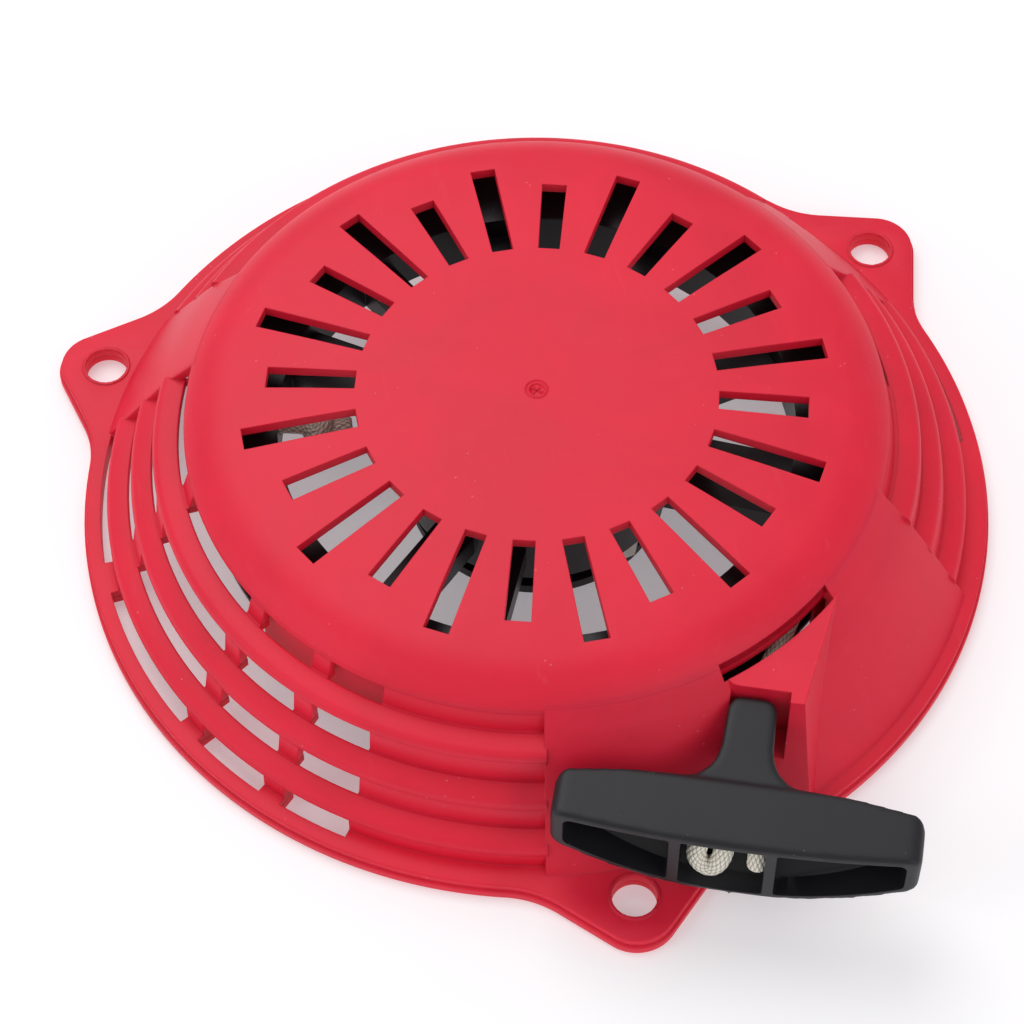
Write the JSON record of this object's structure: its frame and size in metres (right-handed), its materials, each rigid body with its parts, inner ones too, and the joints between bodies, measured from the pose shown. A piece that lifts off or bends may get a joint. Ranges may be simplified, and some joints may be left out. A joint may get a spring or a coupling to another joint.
{
  "type": "recoil starter",
  "caption": "Pull-cord recoil starter for a small engine: vented round cover with mounting ears, rope reel, recoil spring, ratchets and a T-shaped pull grip.",
  "frame": {"origin": "the reel's axis on the underside of the mounting flange, which is also the centre of the stud-hole circle", "axes": "+Z along the reel's axis, away from the engine and up to the crown; -Y through the ear beside the rope exit"},
  "size_m": [0.2016, 0.222, 0.0405],
  "materials": {
    "red_plastic": "satin moulded nylon",
    "black_plastic": "satin moulded nylon",
    "reel_plastic": "moulded nylon",
    "rope": "braided nylon",
    "spring_steel": "oiled spring steel",
    "zinc_steel": "zinc plated",
    "brass": "turned"
  },
  "bodies": {
    "cover": {"housing": "red_plastic", "post_insert": "brass", "recoil_spring": "spring_steel", "friction_spring": "spring_steel", "setting_screw": "zinc_steel", "rope_lead": "rope"},
    "reel": {"reel": "reel_plastic", "rope_wound": "rope", "reel_knot": "rope", "ratchet_spring_a": "spring_steel", "ratchet_spring_b": "spring_steel"},
    "guide": {"ratchet_guide": "black_plastic"},
    "ratchet_a": {"ratchet_a": "zinc_steel"},
    "ratchet_b": {"ratchet_b": "zinc_steel"},
    "grip": {"grip": "black_plastic", "rope_in_grip": "rope", "grip_knot": "rope", "rope_tail": "rope"}
  },
  "joints": [
    {"name": "reel_spin", "type": "hinge", "parent": "cover", "child": "reel", "pos_m": [0, 0, 0.018], "axis": [0, 0, 1], "range_deg": [-1260, 0], "stiffness_Nm_per_rad": 0.05, "springref_deg": 343.77, "deforming": ["recoil_spring"]},
    {"name": "grip_pull", "type": "slide", "parent": "cover", "child": "grip", "axis": [-0.342, -0.9397, 0], "range_m": [0, 1.461], "deforming": ["rope_lead"]},
    {"name": "guide_turn", "type": "hinge", "parent": "reel", "child": "guide", "pos_m": [0, 0, 0.0063], "axis": [0, 0, 1], "range_deg": [0, 30], "stiffness_Nm_per_rad": 0.01, "springref_deg": -17.19},
    {"name": "ratchet_a_swing", "type": "hinge", "parent": "reel", "child": "ratchet_a", "pos_m": [0.02, 0, 0.0102], "axis": [0, 0, 1], "range_deg": [0, 22.5], "deforming": ["ratchet_spring_a"]},
    {"name": "ratchet_b_swing", "type": "hinge", "parent": "reel", "child": "ratchet_b", "pos_m": [-0.02, 0, 0.0102], "axis": [0, 0, 1], "range_deg": [0, 22.5], "deforming": ["ratchet_spring_b"]}
  ],
  "couplings": [
    {"joint": "grip_pull", "follows": "reel_spin", "m_per_rad": -0.0664},
    {"joint": "ratchet_a_swing", "follows": "guide_turn", "ratio": 0.73333},
    {"joint": "ratchet_b_swing", "follows": "guide_turn", "ratio": 0.73333}
  ]
}
